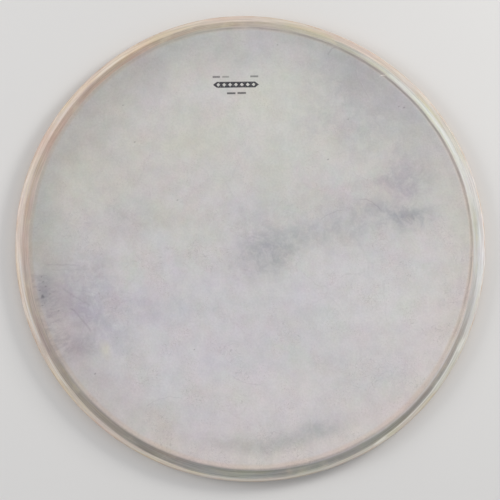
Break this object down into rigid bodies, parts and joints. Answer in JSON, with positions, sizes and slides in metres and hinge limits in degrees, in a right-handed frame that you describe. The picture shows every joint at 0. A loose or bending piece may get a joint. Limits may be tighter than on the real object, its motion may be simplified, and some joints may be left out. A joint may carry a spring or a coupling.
{
  "type": "drum head",
  "caption": "Natural calfskin drum head, lapped over a bent-wood flesh hoop with a scarf joint, with a raised collar pressed to fit over a tom shell.",
  "frame": {"origin": "centre of the outline, on the flat underside that the head lies on", "axes": "+Z to the struck side; +Y to the edge nearest the ink mark; +X to the right of someone reading from the struck side"},
  "size_m": [0.4266, 0.4258, 0.017],
  "materials": {
    "calfskin": "satin",
    "maple": "matte",
    "wire": "dull"
  },
  "bodies": {
    "root": {"calfskin": "calfskin", "flesh_hoop": "maple", "scarf_brad_1": "wire", "scarf_brad_2": "wire", "scarf_brad_3": "wire", "scarf_brad_4": "wire"}
  },
  "joints": []
}
